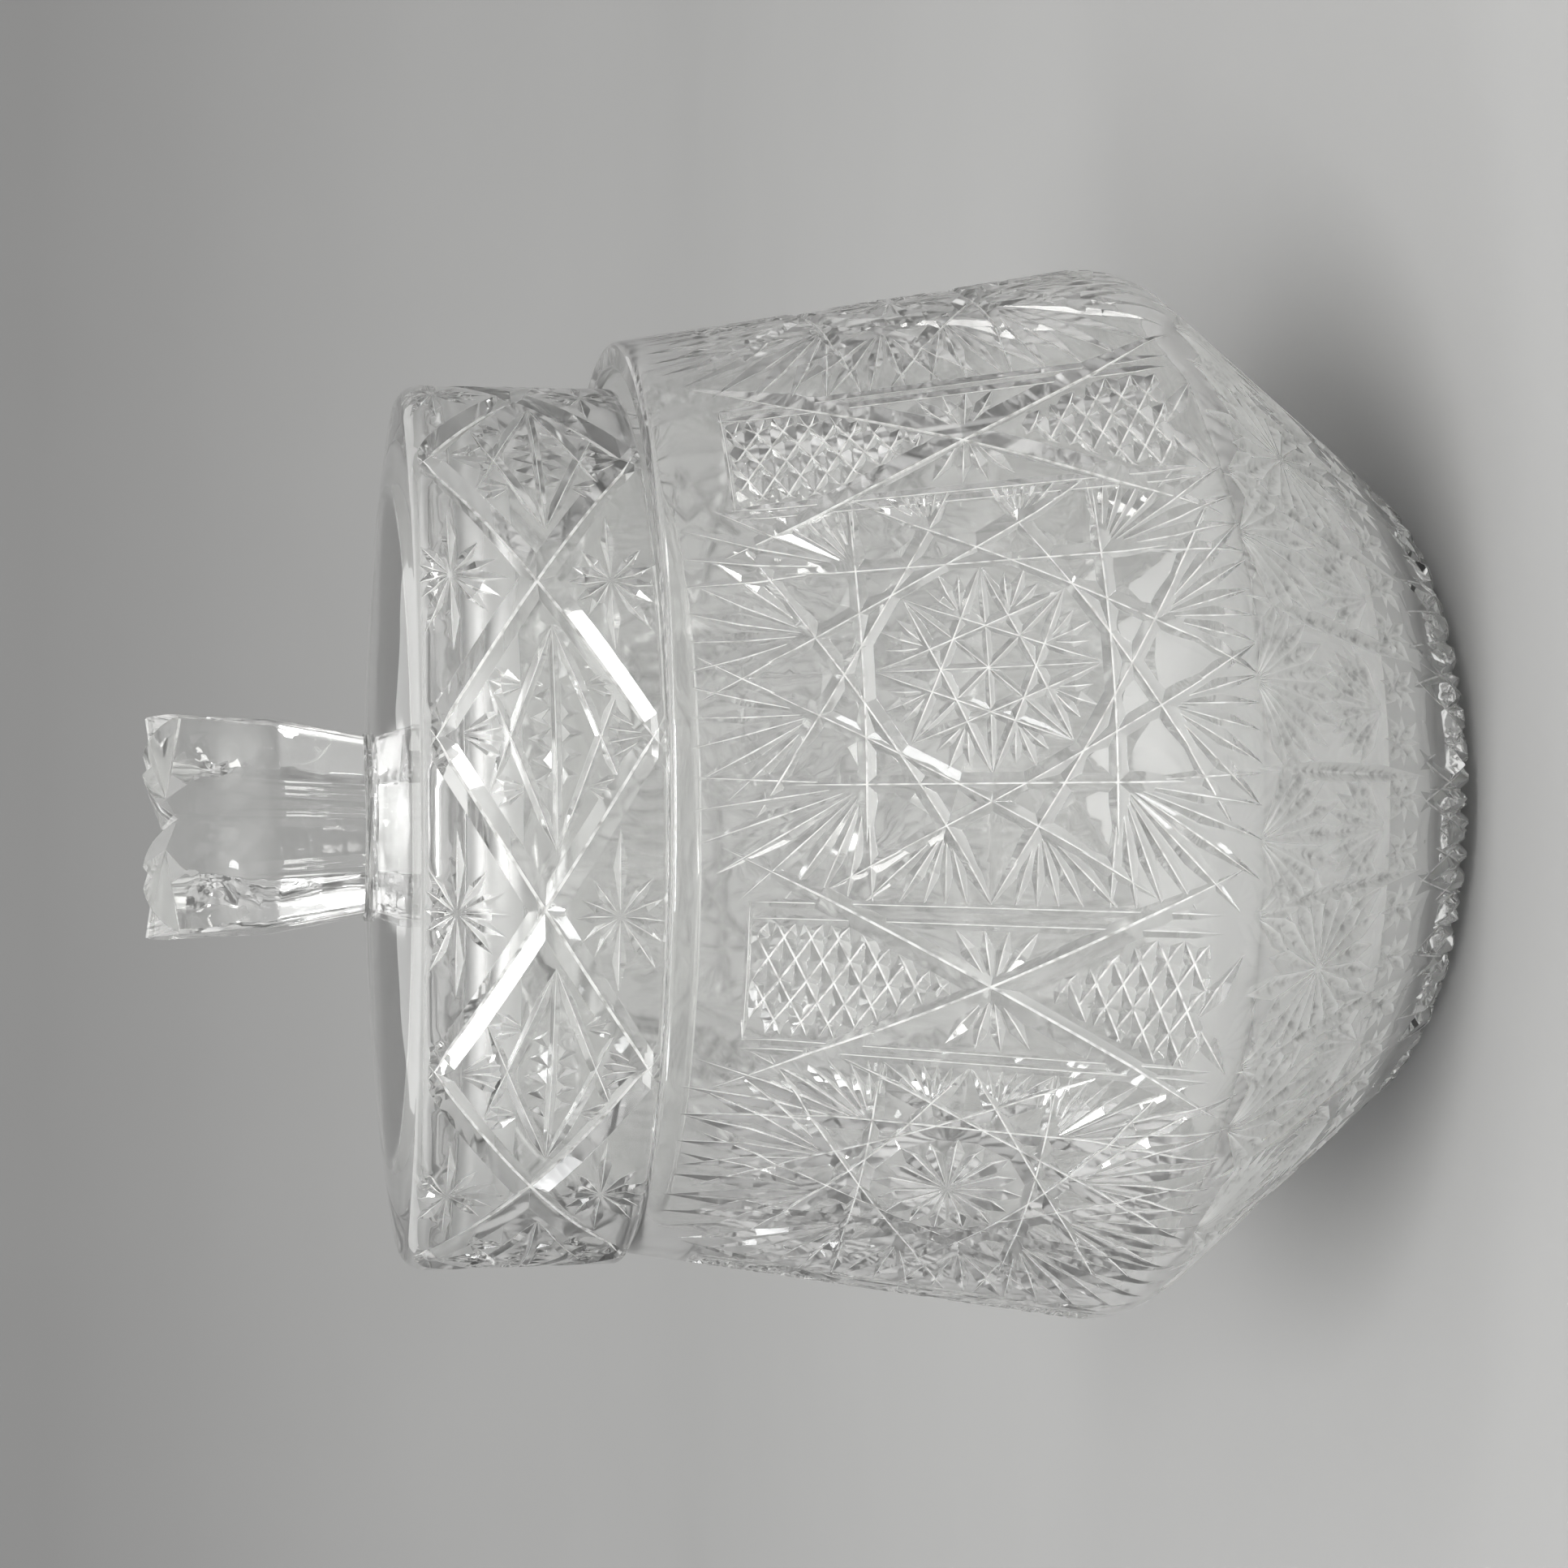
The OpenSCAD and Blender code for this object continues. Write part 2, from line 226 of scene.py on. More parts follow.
def crease_lines(cuts, x0, x1, y1):
    """Every line where facets meet that no deeper cut has taken away, as pairs of points."""
    shortest, shortest_inside = 0.02, 0.03     # mm
    most = max(len(p) for _, p in cuts)
    table = np.zeros((len(cuts), most, 3))
    table[:, :, 2] = 1e4                       # an unused place is far deeper than any cut
    for k, (_, planes) in enumerate(cuts):
        table[k, :len(planes)] = planes[:, :3]
    low = np.array([o.min(0) for o, _ in cuts])
    high = np.array([o.max(0) for o, _ in cuts])

    facets = []                                # polygon, plane, its edges as half planes, cut number
    lines = {}
    for k, (outline, planes) in enumerate(cuts):
        for i in range(len(planes)):
            poly = outline
            for j in range(len(planes)):
                if j != i and len(poly) > 2:
                    poly = clip_polygon(poly, planes[j] - planes[i])
            if len(poly) < 3:
                continue
            nxt = np.roll(poly, -1, 0)
            keep = np.linalg.norm(nxt - poly, axis=1) > HAIR
            poly, nxt = poly[keep], nxt[keep]
            if len(poly) < 3:
                continue
            n = np.stack([poly[:, 1] - nxt[:, 1], nxt[:, 0] - poly[:, 0]], -1)
            n /= np.linalg.norm(n, axis=1)[:, None]
            edges = np.concatenate([n, -np.sum(n * poly, 1)[:, None]], 1)
            facets.append((poly.min(0), poly.max(0), planes[i, :3], edges, k))
            for p, q in zip(poly, nxt):
                a, b = tuple(np.round(p, 3)), tuple(np.round(q, 3))
                lines[(k,) + ((a, b) if a < b else (b, a))] = (p, q)
    found = [(k[0], k[0], p, q) for k, (p, q) in lines.items()]

    facet_low = np.array([f[0] for f in facets])
    facet_high = np.array([f[1] for f in facets])
    owner = np.array([f[4] for f in facets])
    for lo, hi, plane, edges, k in facets:
        near = np.nonzero((owner > k) & (facet_low < hi).all(1) & (facet_high > lo).all(1))[0]
        for j in near:
            a, b, c = plane - facets[j][2]
            size = a * a + b * b
            if size < 1e-10:
                continue
            p, d = np.array([-a * c, -b * c]) / size, np.array([-b, a]) / math.sqrt(size)
            e = np.concatenate([edges, facets[j][3]])
            value, slope = e[:, 0] * p[0] + e[:, 1] * p[1] + e[:, 2], e[:, 0] * d[0] + e[:, 1] * d[1]
            flat = np.abs(slope) < 1e-9
            if (value[flat] < 0).any():
                continue
            t = -value[~flat] / slope[~flat]
            rising = slope[~flat] > 0
            t0, t1 = t[rising].max(initial=-FAR), t[~rising].min(initial=FAR)
            if t1 - t0 > shortest:
                found.append((k, facets[j][4], p + d * t0, p + d * t1))

    seen = []
    level = 1e-12                              # a smaller rise along a line is none
    for k, other, p, q in found:
        near = np.nonzero((low < np.maximum(p, q)).all(1) & (high > np.minimum(p, q)).all(1))[0]
        near = near[(near != k) & (near != other)]
        own = table[k]
        sp, sq = (own[:, :2] @ p + own[:, 2]).min(), (own[:, :2] @ q + own[:, 2]).min()
        covered = []
        if len(near):
            gp = table[near, :, :2] @ p + table[near, :, 2] - sp - HAIR
            gq = table[near, :, :2] @ q + table[near, :, 2] - sq - HAIR
            step = gq - gp
            with np.errstate(divide="ignore", invalid="ignore"):
                root = -gp / step
            t0 = np.where(step > level, root, -FAR)
            t0 = np.where((np.abs(step) <= level) & (gp <= 0), FAR, t0).max(1)
            t1 = np.where(step < -level, root, FAR).min(1)
            t0, t1 = np.clip(t0, 0, 1), np.clip(t1, 0, 1)
            covered = sorted((a, b) for a, b in zip(t0, t1) if b - a > 1e-6)
        t = 0.0
        for a, b in covered + [(1.0, 1.0)]:
            if a > t:
                seen.append((p + (q - p) * t, p + (q - p) * a))
            t = max(t, b)
    inside = []
    for p, d, t0, t1 in (cut_short(p, q, (x0, x1, -FAR, y1)) for p, q in seen):
        if (t1 - t0) * math.hypot(*d) > shortest_inside:
            inside.append((p + d * t0, p + d * t1))
    return inside


def on_grid(p, x0, x1, cell=0.03):
    """The nearest point of a fine grid, so that lines which end close together end at one point."""
    x = x0 if abs(p[0] - x0) < cell else x1 if abs(p[0] - x1) < cell else round(p[0] / cell) * cell
    return np.array([x, round(p[1] / cell) * cell])


def pressed_field(cuts, x0, x1, outline, columns, straight, curved, fine):
    """Triangles of one repeat of the pattern, drawn flat: points, triangles, depths, kinds of surface."""
    lines = crease_lines(cuts, x0, x1, outline.length)
    rows = outline.rows(straight, curved)
    y0, y1 = rows[0], rows[-1]
    width = x1 - x0
    points, edges = [], []
    for p, q in lines:
        p, q = on_grid(p, x0, x1), on_grid(q, x0, x1)
        if (p == q).all():
            continue
        n = max(1, math.ceil(math.hypot(*(q - p)) / fine))
        first = len(points)
        points += [p + (q - p) * k / n for k in range(n + 1)]
        edges += [(first + k, first + k + 1) for k in range(n)]
    flat = np.array(points).reshape(-1, 2)
    sides = np.concatenate([flat[np.abs(flat[:, 0] - x) < 1e-6, 1] for x in (x0, x1)] + [rows])
    side, closest = [], 0.02
    for y in sorted(sides):                    # both ends of the repeat get the same points
        if not side or y - side[-1] > closest:
            side.append(float(y))
    side[0], side[-1] = y0, y1
    for p in points:
        if min(abs(p[0] - x0), abs(p[0] - x1)) < 1e-6:
            p[1] = min(side, key=lambda y: abs(y - p[1]))
    for x in (x0, x1):
        first = len(points)
        points += [np.array([x, y]) for y in side]
        edges += [(first + k, first + k + 1) for k in range(len(side) - 1)]
    for y in (y0, y1):
        first = len(points)
        points += [np.array([x0 + width * k / columns, y]) for k in range(columns + 1)]
        edges += [(first + k, first + k + 1) for k in range(columns)]
    for y in rows[1:-1]:
        points += [np.array([x0 + width * k / columns, y]) for k in range(1, columns)]
    one_point = 0.012                          # mm within which points and lines run together
    verts, _, faces, _, _, _ = delaunay_2d_cdt([Vector(p) for p in points], edges, [], 0, one_point, False)
    verts = np.array([tuple(v) for v in verts], float)
    deep, _ = depth_at(verts, cuts)
    deep[(verts[:, 1] < y0 + 0.01) | (verts[:, 1] > y1 - 0.01)] = 0
    faces = [f for f in faces if len(f) == 3]
    _, matt = depth_at(verts[np.array(faces)].mean(1), cuts)
    return verts, faces, deep, matt


def turned_field(field, outline, chart_r):
    """Rolls a flat field round the axis and presses its depths inward. The front is -Y."""
    verts, faces, deep, matt = field
    rz = outline.at(verts[:, 1])
    r, z = rz[:, 0] - deep * rz[:, 2], rz[:, 1] - deep * rz[:, 3]
    a = verts[:, 0] / chart_r
    return np.stack([r * np.sin(a), -r * np.cos(a), z], -1) * MM, faces, deep, np.zeros(len(deep)), matt


def strip_faces(pts, rows, columns):
    """Faces between neighbouring rows of points, and the row that each begins from."""
    faces, starts = [], []
    for k in range(rows - 1):
        for j in range(columns - 1):
            low, high = k * columns + j, (k + 1) * columns + j
            quad = [low, high, high + 1, low + 1]
            quad = [v for i, v in enumerate(quad) if pts[v] != pts[quad[i - 1]]]
            if len(quad) > 2:
                faces.append(quad)
                starts.append(k)
    return faces, starts


def turned_strip(rows, angles, skin_below=-1.0, dull=(0, 0)):
    """A plain turned surface through rows of (radius, height).

    It has the plunger's faint skin below one height, and it is dull between two heights.
    """
    fade = 3                                  # mm of height over which the skin comes in
    pts = [(r * math.sin(a) * MM, -r * math.cos(a) * MM, z * MM) for r, z in rows for a in angles]
    skin = np.repeat([min(1.0, max(0.0, (skin_below - z) / fade)) for _, z in rows], len(angles))
    faces, starts = strip_faces(pts, len(rows), len(angles))
    middles = [(rows[k][1] + rows[k + 1][1]) / 2 for k in starts]
    finish = np.array([DULL if dull[0] < z < dull[1] else POLISHED for z in middles])
    return np.array(pts), faces, np.zeros(len(pts)), skin, finish


def joined_mesh(name, parts):
    """One mesh out of several parts, each a list of points, faces, cut depths, inner skin and finishes."""
    faces, first = [], 0
    for part_points, part_faces, _, _, _ in parts:
        faces += [[v + first for v in face[::-1]] for face in part_faces]
        first += len(part_points)
    points, _, deep, skin, finish = ([part[k] for part in parts] for k in range(5))
    mesh = bpy.data.meshes.new(name)
    mesh.from_pydata([tuple(p) for p in np.concatenate(points)], [], faces)
    for layer, values in (("cut_depth", deep), ("inner_skin", skin)):
        mesh.attributes.new(layer, "FLOAT", "POINT").data.foreach_set("value", np.concatenate(values))
    kinds = np.concatenate(finish).astype(np.int32)
    mesh.attributes.new("finish", "INT", "FACE").data.foreach_set("value", kinds)
    return mesh


def filled(node, values):
    """A node with these values in its inputs."""
    for name, value in values.items():
        node.inputs[name].default_value = value
    return node


def made(tree, kind, values=None, **settings):
    """A new node of a tree, with its settings and the values of its inputs."""
    node = tree.nodes.new(kind)
    for name, value in settings.items():
        setattr(node, name, value)
    return filled(node, values or {})


def wired(tree, *pairs):
    """Links sockets of a tree, an output and an input at a time."""
    for out, into in pairs:
        tree.links.new(out, into)


def placed(name, data):
    """A new object of the scene that shows a mesh, a light or a camera."""
    piece = bpy.data.objects.new(name, data)
    bpy.context.scene.collection.objects.link(piece)
    return piece


def repeat_round(mesh, turns, material, name):
    """Geometry Nodes: repeats a wedge of glass round the axis, welds it and gives it its material."""
    tree = bpy.data.node_groups.new(name + "_repeat", "GeometryNodeTree")
    face = tree.interface
    face.new_socket("Wedge", in_out="INPUT", socket_type="NodeSocketGeometry")
    count = face.new_socket("Repeats", in_out="INPUT", socket_type="NodeSocketInt")
    weld = face.new_socket("Weld distance", in_out="INPUT", socket_type="NodeSocketFloat")
    glass = face.new_socket("Glass", in_out="INPUT", socket_type="NodeSocketMaterial")
    face.new_socket("Glass piece", in_out="OUTPUT", socket_type="NodeSocketGeometry")
    given = made(tree, "NodeGroupInput").outputs
    result = made(tree, "NodeGroupOutput").inputs
    spots = made(tree, "GeometryNodePoints")
    index = made(tree, "GeometryNodeInputIndex")
    step = made(tree, "ShaderNodeMath", {0: 2 * math.pi}, operation="DIVIDE")
    turn = made(tree, "ShaderNodeMath", operation="MULTIPLY")
    spin = made(tree, "ShaderNodeCombineXYZ")
    wedges = made(tree, "GeometryNodeInstanceOnPoints")
    real = made(tree, "GeometryNodeRealizeInstances")
    joint = made(tree, "GeometryNodeMergeByDistance")
    finish = made(tree, "GeometryNodeSetMaterial")
    wired(tree,
          (given["Repeats"], spots.inputs["Count"]),
          (given["Repeats"], step.inputs[1]),
          (index.outputs["Index"], turn.inputs[0]),
          (step.outputs[0], turn.inputs[1]),
          (turn.outputs[0], spin.inputs["Z"]),
          (spots.outputs[0], wedges.inputs["Points"]),
          (given["Wedge"], wedges.inputs["Instance"]),
          (spin.outputs[0], wedges.inputs["Rotation"]),
          (wedges.outputs["Instances"], real.inputs["Geometry"]),
          (real.outputs["Geometry"], joint.inputs["Geometry"]),
          (given["Weld distance"], joint.inputs["Distance"]),
          (joint.outputs["Geometry"], finish.inputs["Geometry"]),
          (given["Glass"], finish.inputs["Material"]),
          (finish.outputs["Geometry"], result[0]))

    mesh.materials.append(material)
    wedge = placed(name + "_wedge", mesh)
    modifier = wedge.modifiers.new("repeat", "NODES")
    modifier.node_group = tree
    modifier[count.identifier] = turns
    modifier[weld.identifier] = 0.001 * MM
    modifier[glass.identifier] = material
    bpy.context.view_layer.update()
    depsgraph = bpy.context.evaluated_depsgraph_get()
    whole = bpy.data.meshes.new_from_object(wedge.evaluated_get(depsgraph), depsgraph=depsgraph)
    bpy.data.objects.remove(wedge)
    whole.name = name
    return whole


def polished(mesh, crease=16):
    """Faces outward, and smooth shading with a crisp line wherever facets meet at a clear angle."""
    shell = bmesh.new()
    shell.from_mesh(mesh)
    bmesh.ops.recalc_face_normals(shell, faces=shell.faces)
    shell.to_mesh(mesh)
    shell.free()
    mesh.polygons.foreach_set("use_smooth", [True] * len(mesh.polygons))
    mesh.set_sharp_from_angle(angle=math.radians(crease))
    mesh.update()


def finished(mesh, *others):
    """Gives the faces that aren't polished glass the materials that their finish names."""
    for material in others:
        mesh.materials.append(material)
    kinds = [0] * len(mesh.polygons)
    mesh.attributes["finish"].data.foreach_get("value", kinds)
    mesh.polygons.foreach_set("material_index", kinds)
    mesh.update()


def fan(focus, middle, offsets, length, width, depth, limits, widest=0.55):
    """Leaves that spread from one focus, each cut short where it would leave its panel."""
    x0, x1, y0, y1 = limits
    gap = 0.8                                 # from the focus to the leaf's point
    shortest = 4
    out = []
    for off in offsets:
        a = math.radians(middle + off)
        reach = length
        for d, lo, hi, at in ((math.cos(a), x0, x1, focus[0]), (math.sin(a), y0, y1, focus[1])):
            if d > 1e-6:
                reach = min(reach, (hi - at) / d)
            elif d < -1e-6:
                reach = min(reach, (lo - at) / d)
        if reach > shortest:
            w = width * min(1, (reach / length) ** 0.5)
            out.append(leaf(point_on(focus, gap, a), middle + off, reach - gap, w, depth, widest))
    return out


def mitre_inside(p, q, width, depth, taper, limits, matt=0.07):
    """A mitre cut short at its panel's sides."""
    p, d, t0, t1 = cut_short(np.array(p, float), np.array(q, float), limits)
    return mitre(p + d * t0, p + d * t1, width, depth, taper, matt=matt)


JAR_MM_PER_DEGREE = math.radians(1) * JAR_CHART_R


def jar_x(degrees):
    """Where a direction round the jar lies on the flat drawing."""
    return degrees * JAR_MM_PER_DEGREE


def star_panel(c, ring, limits, reach):
    """Twelve mitres round a star, with kites and fans of leaves between them, out to the panel's sides."""
    tall = 1.05                               # the panel is a little taller than it is wide
    x0, x1, y0, y1 = limits
    half = reach * 0.93
    r = ring * math.sqrt(2)                   # where the mitres cross, and the fans spread from
    cuts = []
    for k in range(12):
        a = math.radians(30 * k)
        foot = point_on(c, ring, a, tall)
        d = (-math.sin(a), math.cos(a) * tall)
        start = (foot[0] - d[0] * half, foot[1] - d[1] * half)
        end = (foot[0] + d[0] * half, foot[1] + d[1] * half)
        cuts.append(mitre_inside(start, end, width=3.2, depth=1.3, taper=9, limits=limits))
        for turn, near, side, far, deep in ((15, 1.06, 1.155, 1.39, 0.75), (0, 1.19, 1.40, 1.95, 0.65)):
            kite = [point_on(c, ring * g, a + math.radians(turn + off), tall)
                    for g, off in ((near, 0), (side, 13.5), (far, 0), (side, -13.5))]
            if all(x0 < x < x1 and y0 < y < y1 for x, y in kite):
                deepest = point_on(c, ring * side * 0.95, a + math.radians(turn), tall)
                cuts.append(pyramid(kite, deepest, deep))
    for k in range(12):
        a = 15 + 30 * k
        spread, far, width = range(-45, 46, 15), reach * 1.42, 2.6
        if k % 3 == 1:                        # there is more room towards the panel's corners
            spread, far, width = range(-48, 49, 12), reach * 1.62, 2.7
        cuts += fan(point_on(c, r, math.radians(a), tall), a, spread, far - r, width, 1.05, limits)
    return cuts


def hobstar(c, r):
    """An eight-pointed star of crossing mitres, with three short leaves between its points."""
    cuts = []
    tall = 1.04
    for k in range(8):                        # each mitre runs from one point of the star to the third next
        a, b = math.radians(45 * k), math.radians(45 * k + 135)
        start, end = point_on(c, r, a, tall), point_on(c, r, b, tall)
        cuts.append(mitre(start, end, width=1.9, depth=0.85, taper=5))
    for k in range(4):                        # and a finer one straight across, from point to point
        a = math.radians(45 * k)
        d = (r * math.cos(a), r * tall * math.sin(a))
        cuts.append(mitre((c[0] - d[0], c[1] - d[1]), (c[0] + d[0], c[1] + d[1]), width=1.3, depth=0.6,
                          taper=5))
    for k in range(8):
        a = 22.5 + 45 * k
        p = point_on(c, 0.55 * r, math.radians(a), tall)
        for off, n in ((-24, 0.40), (0, 0.47), (24, 0.40)):
            cuts.append(leaf(p, a + off, length=r * n, width=2.1, depth=0.8, widest=0.6))
    return cuts


def sunburst(c, r):
    """A burst of sixteen long and short leaves."""
    cuts = []
    gap = 0.6                                 # from the middle to each leaf's point
    for k in range(16):
        a = 360 / 16 * k
        reach = r if k % 2 == 0 else r * 0.92
        cuts.append(leaf(point_on(c, gap, math.radians(a)), a, length=reach - gap, width=2.6, depth=1.0,
                         widest=0.72))
    return cuts


def lattice(limits, apex, slope, down, first, rows):
    """Two crossing sets of V cuts that leave rows of small hobnails, inside a pointed panel."""
    x0, x1, y0, y1 = limits
    row_apart, shortest = 3.9, 2.5
    cuts = []
    for dx, dy in ((3.6, 2.15), (3.55, -1.75)):
        for k in range(*rows):
            p = np.array([first[0], first[1] + row_apart * k])
            d = np.array([dx, dy])
            t0, t1 = -20.0, 20.0
            tests = [((1, 0), x0), ((-1, 0), -x1), ((0, 1), y0), ((0, -1), -y1)]
            for side in (-1, 1):               # the panel's two sloping sides run to its apex
                n = np.array([side * slope, -1.0 if down else 1.0])
                tests.append((tuple(n), float(n @ np.array(apex))))
            for n, edge in tests:
                value, along = n[0] * p[0] + n[1] * p[1] - edge, n[0] * d[0] + n[1] * d[1]
                if abs(along) < 1e-9:
                    if value < 0:
                        t1 = -99                   # the cut runs outside the panel
                elif along > 0:
                    t0 = max(t0, -value / along)
                else:
                    t1 = min(t1, -value / along)
            if (t1 - t0) * math.hypot(dx, dy) > shortest:
                cuts.append(mitre(p + d * t0, p + d * t1, width=2.7, depth=1.1, taper=1.6))
    return cuts


def crossing_panel(x, y):
    """A bold crossing of two wide mitres, a hobnail lattice above and below, leaves at both sides."""
    cuts = []
    for side in (-1, 1):
        cuts.append(mitre((x - side * 21.0, y - 39.5), (x + side * 19.0, y + 35.5), width=3.9, depth=1.45,
                          taper=16))
    for mid, offs in ((180, (-34, -12, 10, 34)), (0, (-33, -11, 11, 33))):
        cuts += fan((x, y), mid, offs, length=11, width=2.4, depth=0.85,
                    limits=(x - 10, x + 9.3, y - 30, y + 30), widest=0.62)
    rows, slope = (-9, 9), 1.85
    cuts += lattice((x - 9.6, x + 9.2, y - 34.6, y), (x, y - 4.6), slope, True, (x - 0.5, y - 22.8), rows)
    cuts += lattice((x - 10.6, x + 8.6, y, y + 30.5), (x, y + 6.0), slope, False, (x - 2, y + 16.6), rows)
    for dx in (-12.6, -10.9, 9.8, 12.4):      # upright lines at both sides, and one along the rim
        cuts.append(mitre((x + dx, y - 36), (x + dx, y + 33), width=1.5, depth=0.55, taper=5))
    cuts.append(mitre((x - 11.2, y - 35.3), (x + 12.8, y - 35.3), width=0.9, depth=0.35, taper=3))
    cuts.append(leaf((x - 2.8, y + 29.6), 33, length=11.5, width=3.2, depth=0.95, widest=0.4))
    cuts.append(leaf((x - 3.2, y + 29.6), 146, length=10, width=3.0, depth=0.9, widest=0.4))
    return cuts


def spread_evenly(x, count):
    """The middles of so many equal parts of half a repeat, which lies evenly to both sides of x."""
    return [x + jar_x(JAR_TURN / 2 / count) * (k - (count - 1) / 2) for k in range(count)]


def cone_and_heel(x):
    """Under the belly: flutes, fans and bursts down the cone, a chain of stars, thumbprints on the heel."""
    cone_top, cone_low = 84, 117.5            # from the rim along the outline, as all heights here
    wide = (x - 70, x + 70, 83.5, 118)
    b = x + jar_x(30)                         # the burst stands midway between two panels
    cuts = []
    for m, width in ((x - 12.2, 3.2), (x + 12.2, 3.2), (x - 31.8, 3.0), (x + 31.8, 3.0)):
        cuts.append(mitre((m, 83.5), (m, 129), width=width, depth=1.1, taper=16, taper_end=12))
    for m, spread, n in ((x, 64, 11), (x - 22, 56, 9), (x + 22, 56, 9)):
        for k in range(n):
            off = spread * (2 * k / (n - 1) - 1)
            cuts += fan((m, cone_top), 90, (off,), length=23 - abs(off) * 0.14, width=3.6, depth=1.0,
                        limits=wide, widest=0.66)
            cuts += fan((m, cone_low), -90, (off * 0.86,), length=18 - abs(off) * 0.08, width=3.4,
                        depth=1.0, limits=wide, widest=0.6)
    for k in range(18):
        a = 20 * k + 10
        cuts.append(leaf(point_on((b, 101), 0.8, math.radians(a)), a, length=16.8 if k % 2 else 14.0,
                         width=3.8, depth=1.05, widest=0.66))
    for side in (-1, 1):
        cuts += fan((b + side * 11.4, cone_top), 90, range(-40, 41, 20), length=11, width=2.8, depth=0.8,
                    limits=wide, widest=0.5)
        cuts += fan((b + side * 11.0, cone_low), -90, range(-40, 41, 20), length=11, width=2.8, depth=0.8,
                    limits=wide, widest=0.5)
    chain_top, chain, chain_low = 118.4, 122.8, 127.2    # heights of the chain of small stars
    for m in spread_evenly(x, 8):
        for lean in (-4.4, 4.4):
            cuts.append(mitre((m - lean, chain_top), (m + lean, chain_low), width=2.6, depth=0.95,
                              taper=2.8))
        cuts.append(mitre((m, 117.4), (m, 128.0), width=2.2, depth=0.85, taper=4))
        cuts.append(mitre((m - 5.2, chain), (m + 5.2, chain), width=2.0, depth=0.8, taper=3))
    for _, planes in cuts:                     # the mould is rough down here: these come out matt all over
        planes[:, 3] = MATT
    cuts.append(dish((x - 1.0, 136.0), rx=12.2, ry=9.0, depth=1.3))
    for side in (-1, 1):
        cuts.append(dish((x - 1.0 + side * 24.0, 134.0), rx=9.2, ry=7.4, depth=1.15))
    cuts.append(dish((b - 1.0, 135.0), rx=9.2, ry=8.4, depth=1.2))
    for d in (-14.0, 14.0, -19.6, 19.6, -28.4, 28.4, -34.6, 34.6, 41.2, -41.2, 47.0):
        cuts.append(mitre((x - 1 + d, 130), (x - 1 + d, 155), width=4.6, depth=1.45, taper=8, taper_end=4))
    for m in spread_evenly(x, 10):             # crossing cuts that leave small lozenges on the heel
        for lean in (-6.6, 6.6):
            cuts.append(mitre((m - lean, 127.5), (m + lean, 149.5), width=3.6, depth=1.15, taper=4,
                              taper_end=3))
    for m in spread_evenly(x, 16):             # short nicks round the foot
        cuts.append(mitre((m, 143.5), (m, 155.5), width=3.2, depth=1.0, taper=4, taper_end=3))
    return cuts


def jar_cuts():
    """The whole pattern of one repeat: two star panels, two crossings, and the cone under them."""
    big_star, small_star = (jar_x(12.7), 45.6), (jar_x(-45.6), 44.6)
    cuts = star_panel(big_star, ring=17.0, limits=(jar_x(-11.3), jar_x(33.2), 2.6, 84.5), reach=31)
    cuts += hobstar(big_star, r=15.8)
    cuts += crossing_panel(jar_x(40.2), 46.6) + cone_and_heel(jar_x(10.6))
    cuts += star_panel(small_star, ring=12.3, limits=(jar_x(-71.3), jar_x(-28.5), 2.6, 84.5), reach=29)
    cuts += sunburst(small_star, r=11.6)
    cuts += crossing_panel(jar_x(-19.8), 46.6) + cone_and_heel(jar_x(-49.4))
    return cuts


def repeated(cuts, x0, x1):
    """The cuts that reach the field from x0 to x1, with those of the repeats to either side."""
    pattern = []
    for outline, planes in cuts:
        for n in (-2, -1, 0, 1, 2):
            dx = n * (x1 - x0)
            moved = outline + [dx, 0]
            if moved[:, 0].max() > x0 and moved[:, 0].min() < x1:
                shifted = planes.copy()
                shifted[:, 2] -= planes[:, 0] * dx
                pattern.append((moved, shifted))
    return pattern


belly_c, heel_c = (jar_belly_r - jar_belly_round, jar_belly_z), (jar_base_r, jar_heel_round)
side_angle = touch_angle((jar_rim_r, jar_rim_z), belly_c, jar_belly_round)
cone_angle = common_touch_angle(belly_c, jar_belly_round, heel_c, jar_heel_round)
rim_c = (jar_rim_r - jar_rim_edge, jar_rim_z - jar_rim_edge)

jar_out = Outline(-0.6)                        # the pattern's heights count from just outside the rim's top
jar_out.arc(rim_c, jar_rim_edge, math.radians(90), side_angle)
jar_out.line(point_on(rim_c, jar_rim_edge, side_angle), point_on(belly_c, jar_belly_round, side_angle))
jar_out.arc(belly_c, jar_belly_round, side_angle, cone_angle)
jar_out.line(point_on(belly_c, jar_belly_round, cone_angle), point_on(heel_c, jar_heel_round, cone_angle))
jar_out.arc(heel_c, jar_heel_round, cone_angle, math.radians(-90))
jar_out.line((jar_base_r, 0), (jar_base_r - jar_foot_ring, 0))

jar_x0 = jar_x(JAR_START)
jar_x1 = jar_x(JAR_START + JAR_TURN)
jar_columns = 64
jar_field = pressed_field(repeated(jar_cuts(), jar_x0, jar_x1), jar_x0, jar_x1, jar_out, jar_columns,
                          straight=3.0, curved=1.6, fine=2.8)

